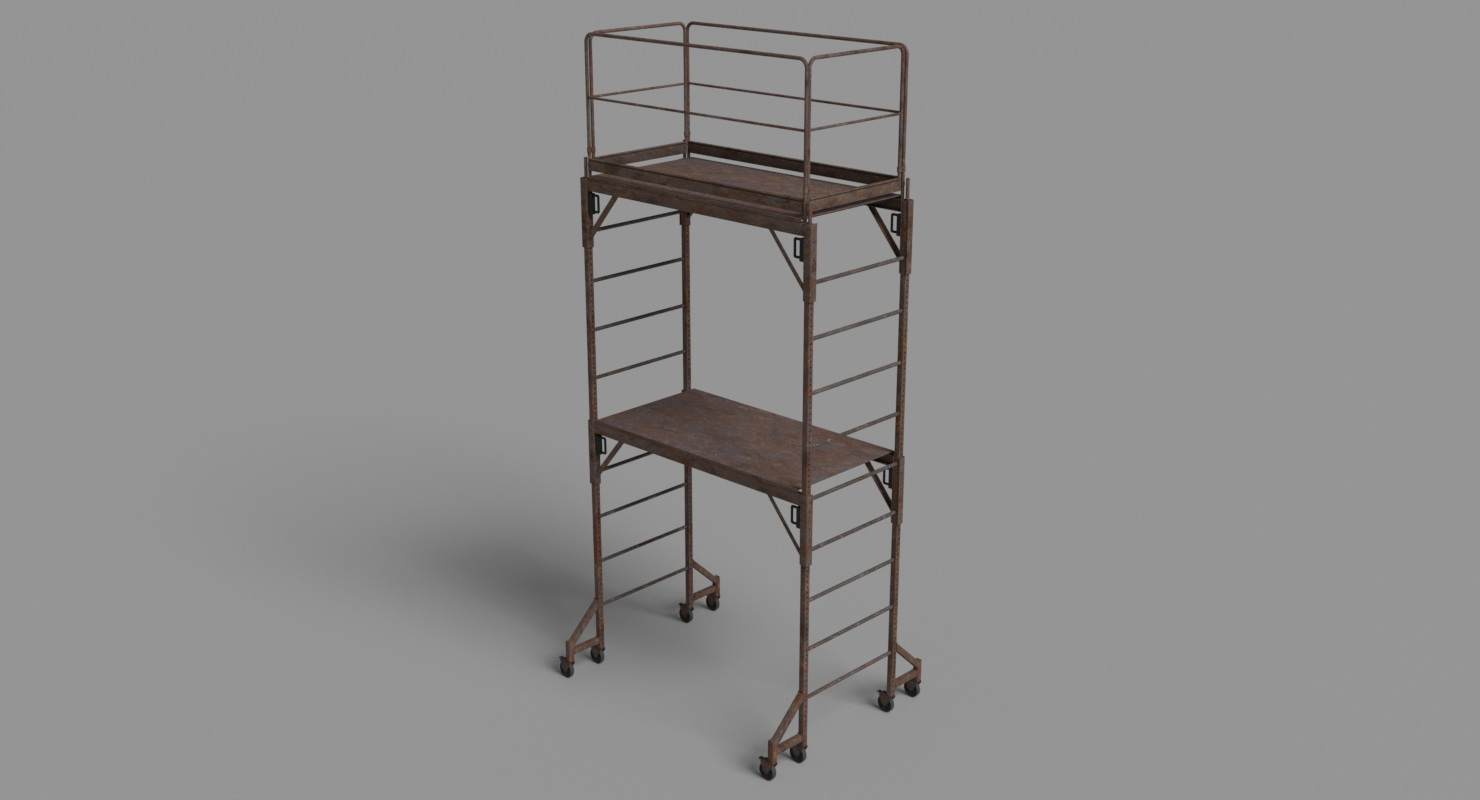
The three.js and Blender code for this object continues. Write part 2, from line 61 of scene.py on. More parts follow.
POST = 41.0
POST_WALL = 2.5  # the posts are square tubes
RUNG_D = 25.0
RUNG_FIRST = 315.0  # above a frame's foot
RUNG_PITCH = 329.0
RUNGS = {"lower": 5, "upper": 4}
SPIGOT_RISE = 133.0  # above the posts
HOLE_D = 10.6
HOLE_PITCH = 35.0
DECK_T = 22.0
SHEET_T = 3.0
RIM_T = 3.0  # angles of the platform's frame
RIM_LEG = 32.0
RIM_END = 848.0  # end angles, from the platform's middle
RIB_FOOT = 30.0
RIB_WEB = 4.0
BEAM_H = 75.0
BEAM_FLANGE = 35.0
BEAM_T = 4.0
SLEEVE_TOP = 18.6  # below the platform's top
SLEEVE_LENGTH = 450.0
SLEEVE_IN = 26.0  # from the post's axis towards the middle
SLEEVE_OUT = 31.0  # and away from it
SLEEVE_SIDE = 26.0  # half its width
SLEEVE_T = 4.8
BRACE_FOOT = 400.0  # below the platform's top
BRACE_REACH = 660.0  # where a brace meets the beam, from the middle
BRACE_W = 28.0
BRACE_LIP = 25.0  # depth of its turned-in edge
BRACE_T = 4.0
CASE_X = -66.0  # back of a lock's housing, from the post's axis
CASE_Y = 14.0  # half its width
CASE_T = 4.0
LOCK_BEND = 7.0
COLLAR_D = 16.0
COLLAR_X = -33.0  # stop collar on a lock's arm, from the post's axis
RAIL_D = 22.0
RAIL_BEND = 55.0
RAIL_MID = 3944.0  # height of the mid rails
MID_RAIL_D = 16.0
TOE_T = 25.0
CLIP_H = 30.0
OUTRIG_REACH = 278.0
OUTRIG_LEG_TOP = 285.0
OUTRIG_BEAM_Z = 198.5
OUTRIG_BRACE_Z = (486.0, 247.0)  # its ends at the post and at the leg
PAD_T = 4.0
WHEEL_R = 60.0
TRAIL = 37.0  # axle behind the stem
FORK_T = 4.0
FORK_IN = 19.6  # inner face of a cheek, from the middle
FORK_TOP = 132.0
PEDAL_PIVOT = (-71.0, 121.0)  # along X from the stem, and its height
PEDAL_REACH = 104.0  # its tip behind the stem


def box(node):
    low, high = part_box(node)
    return low / MM, high / MM


def middle(node):
    low, high = box(node)
    return (low + high) / 2


LEVELS = ("lower", "upper")
ENDS = {"left": -1, "right": 1}
SIDES = {"front": -1, "back": 1}
CENTRE_X = (middle("lower_frame_left").x + middle("lower_frame_right").x) / 2
POST_X = middle("lower_frame_right").x - CENTRE_X
POST_Y = box("lower_frame_right")[1].y - POST / 2
FOOT = {level: box(f"{level}_frame_left")[0].z for level in LEVELS}
FRAME_TOP = {level: box(f"{level}_frame_left")[1].z - SPIGOT_RISE for level in LEVELS}
DECK_TOP = {level: box(f"{level}_deck_sheet")[1].z for level in LEVELS}
DECK_X = box("lower_deck_sheet")[1].x - CENTRE_X
DECK_Y = box("lower_deck_sheet")[1].y
LOCK_LOW, LOCK_HIGH = box("lower_lock_pin_front_right")
LOCK_D = LOCK_HIGH.y - LOCK_LOW.y


# ------------------------------------------------------------------ shapes

def circle(diameter, count=24):
    turn = 2 * math.pi / count
    return [(diameter / 2 * math.cos(i * turn), diameter / 2 * math.sin(i * turn)) for i in range(count)]


def rectangle(width, height, at=(0, 0)):
    (u, v), a, b = at, width / 2, height / 2
    return [(u - a, v - b), (u + a, v - b), (u + a, v + b), (u - a, v + b)]


def rounded(corners, radii, steps=4):
    """A closed outline with an arc of the given radius at each corner."""
    if not isinstance(radii, (list, tuple)):
        radii = [radii] * len(corners)
    outline = []
    for i, (corner, radius) in enumerate(zip(corners, radii)):
        here = Vector(corner)
        back = (Vector(corners[i - 1]) - here).normalized()
        ahead = (Vector(corners[(i + 1) % len(corners)]) - here).normalized()
        if not radius:
            outline.append(tuple(here))
            continue
        half = back.angle(ahead) / 2
        centre = here + (back + ahead).normalized() * (radius / math.sin(half))
        start = here + back * (radius / math.tan(half)) - centre
        end = here + ahead * (radius / math.tan(half)) - centre
        first = math.atan2(start.y, start.x)
        sweep = (math.atan2(end.y, end.x) - first + math.pi) % (2 * math.pi) - math.pi
        for k in range(steps + 1):
            angle = first + sweep * k / steps
            outline.append((centre.x + radius * math.cos(angle), centre.y + radius * math.sin(angle)))
    return outline


def square(width, radius):
    return rounded(rectangle(width, width), radius)


def mirrored(outline):
    return [(-u, v) for u, v in reversed(outline)]


def station(origin, travel, up):
    """A section plane: its third axis looks along the travel and its second is near up."""
    along = Vector(travel).normalized()
    right = Vector(up).cross(along).normalized()
    return Matrix.Translation(origin) @ Matrix((right, along.cross(right), along)).transposed().to_4x4()


def facing(at, axis):
    """A section plane at a point, looking along an axis."""
    return station(at, axis, X if abs(Vector(axis).normalized().x) < 0.9 else Y)


def run(start, end, up=Z):
    start, end = Vector(start), Vector(end)
    return [station(start, end - start, up), station(end, end - start, up)]


def bent(points, radius, up, steps=10):
    """Stations along a path whose corners are rounded."""
    points = [Vector(p) for p in points]
    path = [station(points[0], points[1] - points[0], up)]
    for before, here, after in zip(points, points[1:], points[2:]):
        back, ahead = (before - here).normalized(), (after - here).normalized()
        half = back.angle(ahead) / 2
        centre = here + (back + ahead).normalized() * (radius / math.sin(half))
        start = here + back * (radius / math.tan(half)) - centre
        end = here + ahead * (radius / math.tan(half)) - centre
        for k in range(steps + 1):
            axis = start.cross(end).normalized()
            spoke = Quaternion(axis, start.angle(end) * k / steps) @ start
            path.append(station(centre + spoke, axis.cross(spoke), up))
    path.append(station(points[-1], points[-1] - points[-2], up))
    return path


class Shape:
    """Closed surfaces, in millimetres, gathered for one piece."""

    def __init__(self):
        self.points, self.faces, self.paints = [], [], []

    def add(self, points, faces, paint):
        base = len(self.points)
        self.points += [Vector(p) for p in points]
        self.faces += [[base + i for i in face] for face in faces]
        self.paints += [paint] * len(faces)

    def join(self, other, at=Matrix()):
        base = len(self.points)
        self.points += [at @ p for p in other.points]
        self.faces += [[base + i for i in face] for face in other.faces]
        self.paints += other.paints
        return self

    def rings(self, rings, paint, closed=False):
        """Rings of points joined into a skin, capped at its ends or closed on itself."""
        count = len(rings[0])
        pairs = [(i, (i + 1) % len(rings)) for i in range(len(rings) - (not closed))]
        faces = [
            [a * count + j, a * count + (j + 1) % count, b * count + (j + 1) % count, b * count + j]
            for a, b in pairs for j in range(count)
        ]
        if not closed:
            faces += [list(range(count))[::-1], [(len(rings) - 1) * count + j for j in range(count)]]
        self.add([p for ring in rings for p in ring], faces, paint)

    def sweep(self, path, outline, paint, bore=None, cuts=(None, None)):
        """An outline carried along a path. A bore has as many points as the outline.
        A cut is a plane, (point, normal), that trims the start or the end."""
        def ring(i, section):
            placed = [path[i] @ Vector((u, v, 0)) for u, v in section]
            plane = cuts[0] if i == 0 else cuts[1] if i == len(path) - 1 else None
            if plane:
                point, normal = Vector(plane[0]), Vector(plane[1])
                along = path[i].to_3x3() @ Z
                placed = [p + along * ((point - p).dot(normal) / along.dot(normal)) for p in placed]
            return placed

        rings = [ring(i, outline) for i in range(len(path))]
        if bore:
            rings += [ring(i, bore) for i in reversed(range(len(path)))]
        self.rings(rings, paint, closed=bool(bore))

    def slab(self, outline, plane, a, b, paint):
        """A flat outline in the plane of two axes, such as "XZ", thick from a to b along the third."""
        axes = ["XYZ".index(c) for c in plane]
        third = 3 - sum(axes)
        rings = []
        for depth in (a, b):
            ring = []
            for u, v in outline:
                point = [0, 0, 0]
                point[axes[0]], point[axes[1]], point[third] = u, v, depth
                ring.append(point)
            rings.append(ring)
        self.rings(rings, paint)

    def turned(self, profile, at, axis, paint, count=32, bored=True):
        """(radius, height) points turned about an axis: all round a bored ring's section, or up a
        solid's side."""
        place = facing(at, axis)
        rings = [[place @ Vector((u, v, height)) for u, v in circle(2 * r, count)] for r, height in profile]
        self.rings(rings, paint, closed=bored)

    def bead(self, path, radius, paint, closed=False):
        """A rippled weld along a path."""
        draw = random.Random(len(path) * 7 + round(radius * 10))
        rings = []
        for i, plane in enumerate(path):
            size = radius * (1 + 0.16 * math.sin(i * 2.1) + draw.uniform(-0.1, 0.1))
            rings.append([plane @ Vector((u, v, 0)) for u, v in circle(2 * size, 7)])
        self.rings(rings, paint, closed)

    def ring_weld(self, at, axis, diameter, radius, paint):
        place = facing(at, axis)
        count = max(16, round(math.pi * diameter / (2.2 * radius)))
        path = []
        for i in range(count):
            angle = 2 * math.pi * i / count
            spoke = Vector((math.cos(angle), math.sin(angle), 0))
            tangent = Vector((-math.sin(angle), math.cos(angle), 0))
            turn = place.to_3x3()
            path.append(station(place @ (spoke * diameter / 2), turn @ tangent, turn @ Z))
        self.bead(path, radius, paint, closed=True)

    def seam_weld(self, start, end, radius, paint):
        start, end = Vector(start), Vector(end)
        count = max(3, round((end - start).length / (1.6 * radius)))
        path = [facing(start.lerp(end, i / count), end - start) for i in range(count + 1)]
        self.bead(path, radius, paint)

    def bolt(self, at, axis, across, thick, paint):
        """A hexagonal head on its washer, facing along the axis."""
        place = facing(at, axis)
        washer = circle(across * 1.35, 20)
        outer = across / math.cos(math.pi / 6)
        rings = [(washer, 0), (washer, 0.9)]
        self.rings([[place @ Vector((u, v, h)) for u, v in ring] for ring, h in rings], paint)
        heights = ((outer, 0.6), (outer, 0.8 * thick), (outer * 0.86, thick))
        self.rings([[place @ Vector((u, v, h)) for u, v in circle(d, 6)] for d, h in heights], paint)

    def dome(self, at, axis, diameter, height, paint, count=14):
        """A rivet's head."""
        place = facing(at, axis)
        rings = []
        for k in range(5):
            angle = math.pi / 2 * k / 4.4
            d, h = diameter * math.cos(angle), height * math.sin(angle)
            rings.append([place @ Vector((u, v, h)) for u, v in circle(d, count)])
        self.rings([[place @ Vector((u, v, -1)) for u, v in circle(diameter, count)]] + rings, paint)

    def repaint(self, paint, chosen):
        """Another paint for the faces whose middle is chosen."""
        for i, face in enumerate(self.faces):
            if chosen(sum((self.points[j] for j in face), Vector()) / len(face)):
                self.paints[i] = paint

    def mesh(self, name):
        """The finished mesh, in metres, with a material slot for each paint it uses."""
        mesh = bpy.data.meshes.new(name)
        mesh.from_pydata([p * MM for p in self.points], [], self.faces)
        used = sorted(set(self.paints))
        for paint in used:
            mesh.materials.append(PAINT[paint])
        for polygon, paint in zip(mesh.polygons, self.paints):
            polygon.material_index = used.index(paint)
        work = bmesh.new()
        work.from_mesh(mesh)
        bmesh.ops.recalc_face_normals(work, faces=work.faces)
        work.to_mesh(mesh)
        work.free()
        mesh.shade_smooth()
        mesh.set_sharp_from_angle(angle=math.radians(34))
        return mesh


def carved(body, tools, paint):
    """The body with the tools cut out of it, all in one paint."""
    made = []
    for shape in (body, tools):
        mesh = bpy.data.meshes.new("carving")
        mesh.from_pydata(shape.points, [], shape.faces)
        work = bmesh.new()
        work.from_mesh(mesh)
        bmesh.ops.recalc_face_normals(work, faces=work.faces)
        work.to_mesh(mesh)
        work.free()
        made.append(bpy.data.objects.new("carving", mesh))
        bpy.context.scene.collection.objects.link(made[-1])
    cut = made[0].modifiers.new("cut", "BOOLEAN")
    cut.operation = "DIFFERENCE"
    cut.solver = "MANIFOLD"
    cut.object = made[1]
    seen = made[0].evaluated_get(bpy.context.evaluated_depsgraph_get())
    result = Shape()
    points = [v.co.copy() for v in seen.data.vertices]
    result.add(points, [list(p.vertices) for p in seen.data.polygons], paint)
    for thing in made:
        data = thing.data
        bpy.data.objects.remove(thing)
        bpy.data.meshes.remove(data)
    return result


# ------------------------------------------------------------------ materials

class Nodes:
    """A material's node tree, built from the inside out."""

    def __init__(self, name):
        self.material = bpy.data.materials.new(name)
        self.material.use_nodes = True
        self.tree = self.material.node_tree
        self.shader = self.tree.nodes["Principled BSDF"]

    def put(self, socket, value):
        if isinstance(value, bpy.types.NodeSocket):
            self.tree.links.new(value, socket)
        elif socket.type == "RGBA":
            socket.default_value = (*value, 1)
        else:
            socket.default_value = value

    def node(self, kind, output=0, settings=None, **inputs):
        made = self.tree.nodes.new(kind)
        for key, value in (settings or {}).items():
            setattr(made, key, value)
        for key, value in inputs.items():
            self.put(made.inputs[key.replace("_", " ")], value)
        return made.outputs[output]

    def maths(self, operation, *values):
        made = self.tree.nodes.new("ShaderNodeMath")
        made.operation = operation
        for socket, value in zip(made.inputs, values):
            self.put(socket, value)
        return made.outputs[0]

    def range(self, value, low, high, to_low=0.0, to_high=1.0):
        made = self.tree.nodes.new("ShaderNodeMapRange")
        made.interpolation_type = "SMOOTHSTEP"
        for key, number in zip(range(5), (value, low, high, to_low, to_high)):
            self.put(made.inputs[key], number)
        return made.outputs[0]

    def mix(self, factor, a, b):
        made = self.tree.nodes.new("ShaderNodeMix")
        made.data_type = "RGBA"
        for key, value in ((0, factor), (6, a), (7, b)):
            self.put(made.inputs[key], value)
        return made.outputs[2]

    def shade(self, colour, value):
        """The colour, lighter or darker by a factor."""
        made = self.tree.nodes.new("ShaderNodeVectorMath")
        made.operation = "SCALE"
        self.put(made.inputs["Vector"], colour)
        self.put(made.inputs["Scale"], value)
        return made.outputs[0]

    def place(self, stretch=(1, 1, 1)):
        """Coordinates that stay with the piece, shifted by its own random amount."""
        coords = self.node("ShaderNodeTexCoord", 3)
        shift = self.maths("MULTIPLY", self.node("ShaderNodeObjectInfo", 5), 17.3)
        moved = self.tree.nodes.new("ShaderNodeVectorMath")
        moved.operation = "ADD"
        self.put(moved.inputs[0], coords)
        self.put(moved.inputs[1], shift)
        mapping = self.tree.nodes.new("ShaderNodeMapping")
        self.put(mapping.inputs["Vector"], moved.outputs[0])
        mapping.inputs["Scale"].default_value = stretch
        return mapping.outputs[0]

    def noise(self, at, scale, detail=6.0, rough=0.6, twist=0.0, offset=0.0):
        made = self.tree.nodes.new("ShaderNodeTexNoise")
        made.noise_dimensions = "4D"
        for key, value in (("Vector", at), ("W", offset), ("Scale", scale), ("Detail", detail),
                           ("Roughness", rough), ("Distortion", twist)):
            self.put(made.inputs[key], value)
        return made.outputs[0]

    def edges(self, radius):
        """How near a point is to an outer edge or an inner corner, from 0 to 1; rusty steel is darkened by
        it, a dark line on edges and painted shade in inner corners.
        """
        soft = self.node("ShaderNodeBevel", settings={"samples": 4}, Radius=radius)
        hard = self.node("ShaderNodeNewGeometry", 1)
        dot = self.tree.nodes.new("ShaderNodeVectorMath")
        dot.operation = "DOT_PRODUCT"
        self.put(dot.inputs[0], soft)
        self.put(dot.inputs[1], hard)
        return self.range(dot.outputs["Value"], 0.995, 0.9)


def rusty(name, base, haze, rust, ochre, dark, pale, grain_along=(1, 1, 1), scuffs=0.35, rusted=0.5,
          darkened=0.7):
    """Old painted steel: a hazy base with rust blotches, ochre bloom, dark pits and pale scuffs."""
    n = Nodes(name)
    at = n.place()
    drawn = n.place(grain_along)
    clouds = n.noise(drawn, 4.5, 6.0, 0.62, 0.5, 1.0)
    blotch = n.noise(drawn, 14.0, 8.0, 0.68, 0.8, 2.0)
    bloom = n.noise(drawn, 24.0, 7.0, 0.7, 0.4, 3.0)
    stain = n.noise(drawn, 9.0, 7.0, 0.66, 0.6, 7.0)
    grain = n.noise(at, 120.0, 6.0, 0.72, 0.0, 4.0)
    speck = n.noise(at, 420.0, 3.0, 0.6, 0.0, 5.0)
    scratch = n.noise(n.place([0.35 * g for g in grain_along]), 60.0, 7.0, 0.75, 1.2, 6.0)
    edge = n.edges(0.0022)

    colour = n.mix(n.range(clouds, 0.44, 0.58), base, haze)
    rust_mask = n.maths("ADD", blotch, n.maths("MULTIPLY", grain, 0.25))
    rust_mask = n.range(rust_mask, 0.74 - 0.22 * rusted, 0.78 - 0.1 * rusted)
    colour = n.mix(n.maths("MULTIPLY", rust_mask, 0.85), colour, rust)
    ochre_mask = n.range(n.maths("ADD", bloom, n.maths("MULTIPLY", grain, 0.3)), 0.68, 0.76)
    colour = n.mix(n.maths("MULTIPLY", ochre_mask, 0.75), colour, ochre)
    dark_mask = n.range(n.maths("ADD", stain, n.maths("MULTIPLY", speck, 0.4)), 0.67, 0.57)
    colour = n.mix(n.maths("MULTIPLY", dark_mask, darkened), colour, dark)
    pale_mask = n.maths("MULTIPLY", n.range(scratch, 0.55, 0.64), scuffs)
    colour = n.mix(pale_mask, colour, pale)
    # darkened along outer edges as dark lines, and in inner corners as painted shade
    dark_edges_and_corner_shade = n.maths("MULTIPLY", edge, n.range(grain, 0.35, 0.6, 0.25, 0.8))
    colour = n.mix(dark_edges_and_corner_shade, colour, dark)
    colour = n.shade(colour, n.range(grain, 0.36, 0.64, 0.66, 1.36))
    colour = n.shade(colour, n.range(speck, 0.34, 0.66, 0.80, 1.22))

    rough = n.range(rust_mask, 0.0, 1.0, 0.66, 0.94)
    n.put(n.shader.inputs["Base Color"], colour)
    n.put(n.shader.inputs["Roughness"], n.maths("SUBTRACT", rough, n.maths("MULTIPLY", pale_mask, 0.3)))
    n.put(n.shader.inputs["Metallic"], n.range(pale_mask, 0.0, 0.4, 0.0, 0.35))
    n.put(n.shader.inputs["Specular IOR Level"], 0.3)
    height = n.maths("ADD", n.maths("MULTIPLY", grain, 0.6), n.maths("MULTIPLY", rust_mask, 0.5))
    height = n.maths("ADD", height, n.maths("MULTIPLY", speck, 0.25))
    n.put(n.shader.inputs["Normal"], n.node("ShaderNodeBump", Strength=0.6, Distance=0.0012, Height=height))
    return n.material


def worn_black(name, base, wear, rough, cover=0.4):
    """Black paint or oxide with grey rubbed edges and a little rust."""
    n = Nodes(name)
    at = n.place()
    grain = n.noise(at, 160.0, 5.0, 0.7, 0.0, 1.0)
    blotch = n.noise(at, 30.0, 6.0, 0.65, 0.5, 2.0)
    edge = n.edges(0.0016)
    colour = n.mix(n.range(blotch, 0.5, 0.72, 0.0, cover), base, wear)
    rubbed = n.maths("MULTIPLY", edge, n.range(grain, 0.4, 0.65, 0.1, 0.8))
    colour = n.mix(rubbed, colour, [2.2 * c for c in wear])
    n.put(n.shader.inputs["Base Color"], n.shade(colour, n.range(grain, 0.35, 0.65, 0.7, 1.3)))
    n.put(n.shader.inputs["Roughness"], n.range(grain, 0.3, 0.7, rough, min(1.0, rough + 0.25)))
    n.put(n.shader.inputs["Metallic"], 0.25)
    n.put(n.shader.inputs["Normal"], n.node("ShaderNodeBump", Strength=0.4, Distance=0.0006, Height=grain))
    return n.material


def rubber(name):
    """Tyre rubber, black on its walls and dusty grey where it rolls."""
    n = Nodes(name)
    at = n.place()
    dust = n.noise(at, 45.0, 6.0, 0.7, 0.4, 1.0)
    grain = n.noise(at, 500.0, 3.0, 0.6, 0.0, 2.0)
    split = n.tree.nodes.new("ShaderNodeSeparateXYZ")
    n.put(split.inputs[0], n.node("ShaderNodeTexCoord", 3))
    squares = [n.maths("MULTIPLY", split.outputs[axis], split.outputs[axis]) for axis in ("X", "Z")]
    radius = n.maths("SQRT", n.maths("ADD", *squares))
    tread = n.range(radius, 0.0535, 0.0585, 0.15, 0.85)
    dusty = n.maths("MULTIPLY", tread, n.range(dust, 0.3, 0.6, 0.5, 1.0))
    colour = n.mix(dusty, (0.016, 0.016, 0.015), (0.085, 0.080, 0.072))
    n.put(n.shader.inputs["Base Color"], n.shade(colour, n.range(grain, 0.3, 0.7, 0.75, 1.25)))
    n.put(n.shader.inputs["Roughness"], n.range(dust, 0.3, 0.7, 0.72, 0.95))
    n.put(n.shader.inputs["Normal"], n.node("ShaderNodeBump", Strength=0.35, Distance=0.0005, Height=grain))
    return n.material


PAINT = {
    "tube": rusty("rusty_tube", (0.143, 0.084, 0.060), (0.139, 0.100, 0.091), (0.170, 0.058, 0.030),
                  (0.270, 0.150, 0.060), (0.055, 0.029, 0.021), (0.36, 0.31, 0.29), (1, 1, 0.45)),
    "rung": rusty("rusty_rung", (0.103, 0.080, 0.072), (0.122, 0.106, 0.104), (0.155, 0.080, 0.055),
                  (0.200, 0.135, 0.080), (0.060, 0.042, 0.036), (0.42, 0.39, 0.38), (1, 0.5, 1),
                  0.6, 0.3, 0.5),
    "bracket": rusty("rusty_bracket", (0.145, 0.086, 0.060), (0.145, 0.103, 0.094), (0.150, 0.056, 0.029),
                     (0.205, 0.135, 0.060), (0.042, 0.023, 0.017), (0.32, 0.27, 0.25), (0.45, 1, 1)),
    "board": rusty("rusty_board", (0.155, 0.094, 0.065), (0.160, 0.115, 0.098), (0.155, 0.062, 0.032),
                   (0.220, 0.142, 0.070), (0.050, 0.028, 0.020), (0.34, 0.29, 0.26), (0.5, 1, 1), 0.45),
    # a darker copy of the board's paint: painted shade on the toe boards' inner faces
    "inner_board": rusty("rusty_inner_board", (0.095, 0.061, 0.047), (0.100, 0.075, 0.067),
                         (0.100, 0.044, 0.026), (0.135, 0.092, 0.050), (0.033, 0.021, 0.016),
                         (0.21, 0.185, 0.17), (0.5, 1, 1), 0.45),
    "rail": rusty("rusty_rail", (0.150, 0.090, 0.070), (0.160, 0.115, 0.105), (0.165, 0.062, 0.038),
                  (0.220, 0.125, 0.060), (0.052, 0.030, 0.024), (0.40, 0.35, 0.33), (0.6, 1, 0.6), 0.5),
    "deck": rusty("rusty_deck", (0.190, 0.114, 0.092), (0.160, 0.120, 0.122), (0.190, 0.088, 0.060),
                  (0.280, 0.180, 0.115), (0.085, 0.056, 0.050), (0.35, 0.31, 0.295), (0.5, 1, 1),
                  0.6, 0.4, 0.5),
    # a darker copy of the steel: painted shade under the platforms and in the toe boards' grooves
    "under": rusty("steel_painted_shade", (0.065, 0.042, 0.032), (0.055, 0.042, 0.036), (0.10, 0.044, 0.025),
                   (0.12, 0.072, 0.036), (0.020, 0.014, 0.011), (0.13, 0.11, 0.10)),
    "fork": rusty("rusty_fork", (0.105, 0.068, 0.058), (0.120, 0.090, 0.090), (0.150, 0.058, 0.034),
                  (0.190, 0.110, 0.055), (0.034, 0.021, 0.018), (0.26, 0.22, 0.21)),
    "weld": rusty("rusty_weld", (0.090, 0.052, 0.038), (0.100, 0.070, 0.058), (0.160, 0.062, 0.032),
                  (0.200, 0.110, 0.048), (0.032, 0.019, 0.015), (0.20, 0.17, 0.16)),
    "black": worn_black("black_steel", (0.013, 0.0128, 0.012), (0.055, 0.044, 0.036), 0.42),
    "bolt": worn_black("grey_bolt", (0.060, 0.050, 0.044), (0.130, 0.078, 0.05), 0.45, 0.8),
    "hub": worn_black("hub_steel", (0.034, 0.028, 0.026), (0.090, 0.052, 0.038), 0.5, 0.8),
    "tyre": rubber("tyre_rubber"),
}


# ------------------------------------------------------------------ sub-parts, each at its own origin

POST_OUTLINE = square(POST, 4)
POST_BORE = square(POST - 2 * POST_WALL, 1.8)
POST_PLUG = square(POST - 2 * POST_WALL - 0.2, 1.8)


def post_holes(foot, top, lock_height):
    """Heights of a post's row of holes, in step with its locking pins."""
    margin = 12
    first = lock_height - HOLE_PITCH * math.floor((lock_height - foot - margin) / HOLE_PITCH)
    return [first + i * HOLE_PITCH for i in range(int((top - margin - first) / HOLE_PITCH) + 1)]


def ladder_frame(level):
    """Two posts with their holes, plugs and coupling spigots, and the rungs between them."""
    foot, top = FOOT[level], FRAME_TOP[level]
    posts, holes, rest = Shape(), Shape(), Shape()
    lock_height = middle(f"{level}_lock_pin_front_right").z + (LOCK_HIGH.z - LOCK_LOW.z - LOCK_D) / 2
    for y in (-POST_Y, POST_Y):
        posts.sweep(run((0, y, foot), (0, y, top), X), POST_OUTLINE, "tube", POST_BORE)
        for z in post_holes(foot, top, lock_height):
            holes.sweep(run((-POST, y, z), (POST, y, z)), circle(HOLE_D, 16), "tube")
        rest.sweep(run((0, y, top - 60), (0, y, top - 1.5), X), POST_PLUG, "tube")
        end = top + SPIGOT_RISE
        spigot = [(8.5, top - 30), (11, top - 30), (11, end - 4), (9.6, end), (8.5, end)]
        rest.turned(spigot, (0, y, 0), Z, "rail")
        rest.ring_weld((0, y, top - 0.5), Z, 24, 2.2, "weld")
    inner = POST_Y - POST / 2
    for i in range(RUNGS[level]):
        z = foot + RUNG_FIRST + i * RUNG_PITCH
        path = run((0, -inner - 1.5, z), (0, inner + 1.5, z))
        rest.sweep(path, circle(RUNG_D), "rung", circle(RUNG_D - 5))
        for y in (-inner, inner):
            rest.ring_weld((0, y - math.copysign(0.8, y), z), Y, RUNG_D + 1.5, 2.4, "weld")
    return carved(posts, holes, "tube").join(rest)


def side_bracket():
    """The front bracket, with heights from its platform's top."""
    outer, top = -DECK_Y, -DECK_T - GAP
    foot = top - BEAM_H
    end = POST_X - SLEEVE_IN
    body, holes, rest = Shape(), Shape(), Shape()
    inner = outer + BEAM_FLANGE
    channel = [(outer, foot), (inner, foot), (inner, foot + BEAM_T), (outer + BEAM_T, foot + BEAM_T),
               (outer + BEAM_T, top - BEAM_T), (inner, top - BEAM_T), (inner, top), (outer, top)]
    channel = rounded(channel, [6, 1, 1, 3, 3, 1, 1, 6])
    rest.sweep([station((x, 0, 0), X, Z) for x in (-end - 2, end + 2)], channel, "bracket")
    sleeve_z = (-SLEEVE_TOP - SLEEVE_LENGTH, -SLEEVE_TOP)
    near, far = -POST_Y - SLEEVE_SIDE, -POST_Y + SLEEVE_SIDE
    left, right = POST_X - SLEEVE_IN, POST_X + SLEEVE_OUT
    inner_left, inner_right, inner_near = left + SLEEVE_T, right - SLEEVE_T, near + SLEEVE_T
    sleeve = [(left, near), (right, near), (right, far), (inner_right, far), (inner_right, inner_near),
              (inner_left, inner_near), (inner_left, far), (left, far)]
    sleeve = rounded(sleeve, [6, 6, 1.5, 1.5, 2, 2, 1.5, 1.5])
    # a lock's housing: a channel with its back to the middle of the scaffold
    case_x, case_y, case_t = POST_X + CASE_X, CASE_Y, CASE_T
    case = rounded(
        [(case_x, -POST_Y - case_y), (left + 1, -POST_Y - case_y), (left + 1, -POST_Y - case_y + case_t),
         (case_x + case_t, -POST_Y - case_y + case_t), (case_x + case_t, -POST_Y + case_y - case_t),
         (left + 1, -POST_Y + case_y - case_t), (left + 1, -POST_Y + case_y), (case_x, -POST_Y + case_y)],
        [4, 0, 0, 1, 1, 0, 0, 4])
    lock_z = [z - DECK_TOP["lower"] for z in (LOCK_LOW.z + LOCK_D / 2, LOCK_HIGH.z - LOCK_D / 2)]
    case_z = (lock_z[0] - 18, lock_z[1] + 10)
    cases = Shape()
    for s in (-1, 1):
        turn = mirrored if s < 0 else list
        body.slab(turn(sleeve), "XY", *sleeve_z, "bracket")
        cases.slab(turn(case), "XY", *case_z, "black")
        for z in lock_z:
            path = run((s * (case_x - 5), -POST_Y, z), (s * (right + 5), -POST_Y, z))
            holes.sweep(path, circle(HOLE_D, 20), "black")
        # an angle-iron brace with its lower edge turned in
        half = BRACE_W / 2
        angle = [(half, 0), (half, BRACE_T), (BRACE_T - half, BRACE_T), (BRACE_T - half, BRACE_LIP),
                 (-half, BRACE_LIP), (-half, 0)]
        angle = rounded(turn(angle), 1)
        low = Vector((s * (left + 1), outer + BEAM_T, -BRACE_FOOT))
        high = Vector((s * BRACE_REACH, outer + BEAM_T, foot + 2))
        rest.sweep(run(low, high, Y), angle, "bracket", cuts=((low, X), (high, Z)))
        rest.seam_weld((s * left, outer + 3, foot + 2), (s * left, outer + 3, top - 2), 2.6, "weld")
        weld_x, weld_y = s * left, outer + BEAM_T
        rest.seam_weld((weld_x, weld_y, -BRACE_FOOT - 15), (weld_x, weld_y, -BRACE_FOOT + 15), 2.6, "weld")
        for y in (-POST_Y - case_y, -POST_Y + case_y):
            rest.seam_weld((s * left, y, case_z[0] + 3), (s * left, y, case_z[1] - 3), 1.8, "black")
    made = carved(body, holes, "bracket")
    return made.join(carved(cases, holes, "black")).join(rest)


